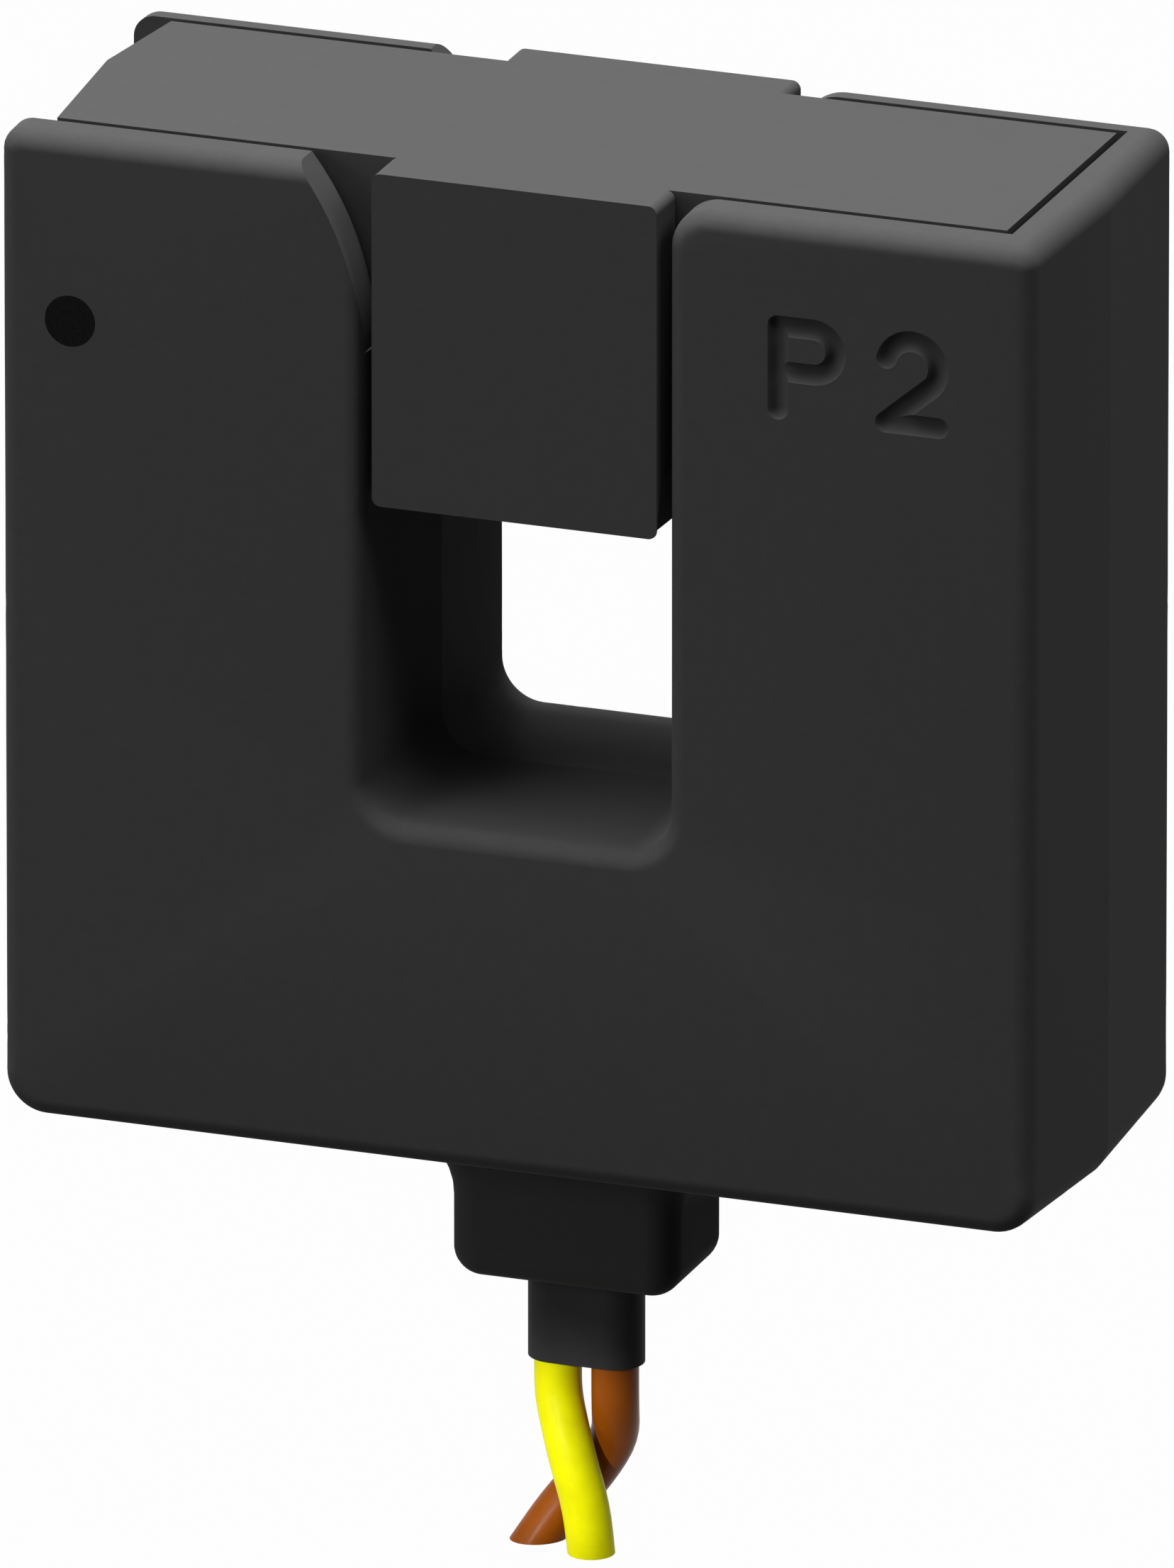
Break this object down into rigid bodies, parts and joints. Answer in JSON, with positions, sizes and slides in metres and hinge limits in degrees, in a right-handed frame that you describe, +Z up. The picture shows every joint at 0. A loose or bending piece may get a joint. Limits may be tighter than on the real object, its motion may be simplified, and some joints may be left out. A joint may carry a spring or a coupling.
{
  "type": "split-core current transformer",
  "caption": "Small split-core current transformer: black U-shaped body with a square window, a hinged gate across its top and a pair of short leads underneath.",
  "frame": {"origin": "centre of the conductor window, on the parting plane of the housing", "axes": "+Y along the conductor, from the front face to the rear, +Z up from the cable to the gate, +X to the right seen from the front"},
  "size_m": [0.0344, 0.013, 0.0467],
  "materials": {
    "housing": "fine matte moulded plastic",
    "gate": "fine matte moulded plastic",
    "pin": "black oxide",
    "ferrite": "ground ferrite",
    "spring": "spring steel",
    "bobbin": "natural nylon",
    "winding": "enamelled copper wire",
    "tape": "polyester tape",
    "board": "glass epoxy board",
    "resistor": "lacquered resistor",
    "diode": "black epoxy",
    "collar": "natural nylon",
    "jacket": "matte flexible jacket",
    "yellow": "bright yellow insulation",
    "brown": "brown insulation",
    "copper": "bright stranded copper"
  },
  "bodies": {
    "housing": {"front_shell": "housing", "rear_shell": "housing", "hinge_pin": "pin", "u_core": "ferrite", "bobbin_left": "bobbin", "bobbin_right": "bobbin", "winding_left": "winding", "winding_right": "winding", "coil_tape_left": "tape", "coil_tape_right": "tape", "coil_link": "winding", "coil_start": "winding", "coil_finish": "winding", "circuit_board": "board", "burden_resistor": "resistor", "clamp_diode": "diode", "strain_relief": "collar", "cable_jacket": "jacket", "yellow_lead": "yellow", "yellow_conductor": "copper", "brown_lead": "brown", "brown_conductor": "copper"},
    "gate": {"gate_shell": "gate", "gate_cover": "gate", "i_core": "ferrite", "core_spring": "spring"}
  },
  "joints": [
    {"name": "gate_hinge", "type": "hinge", "parent": "housing", "child": "gate", "pos_m": [-0.01466, 0, 0.01027], "axis": [0, -1, 0], "range_deg": [0, 100]}
  ]
}
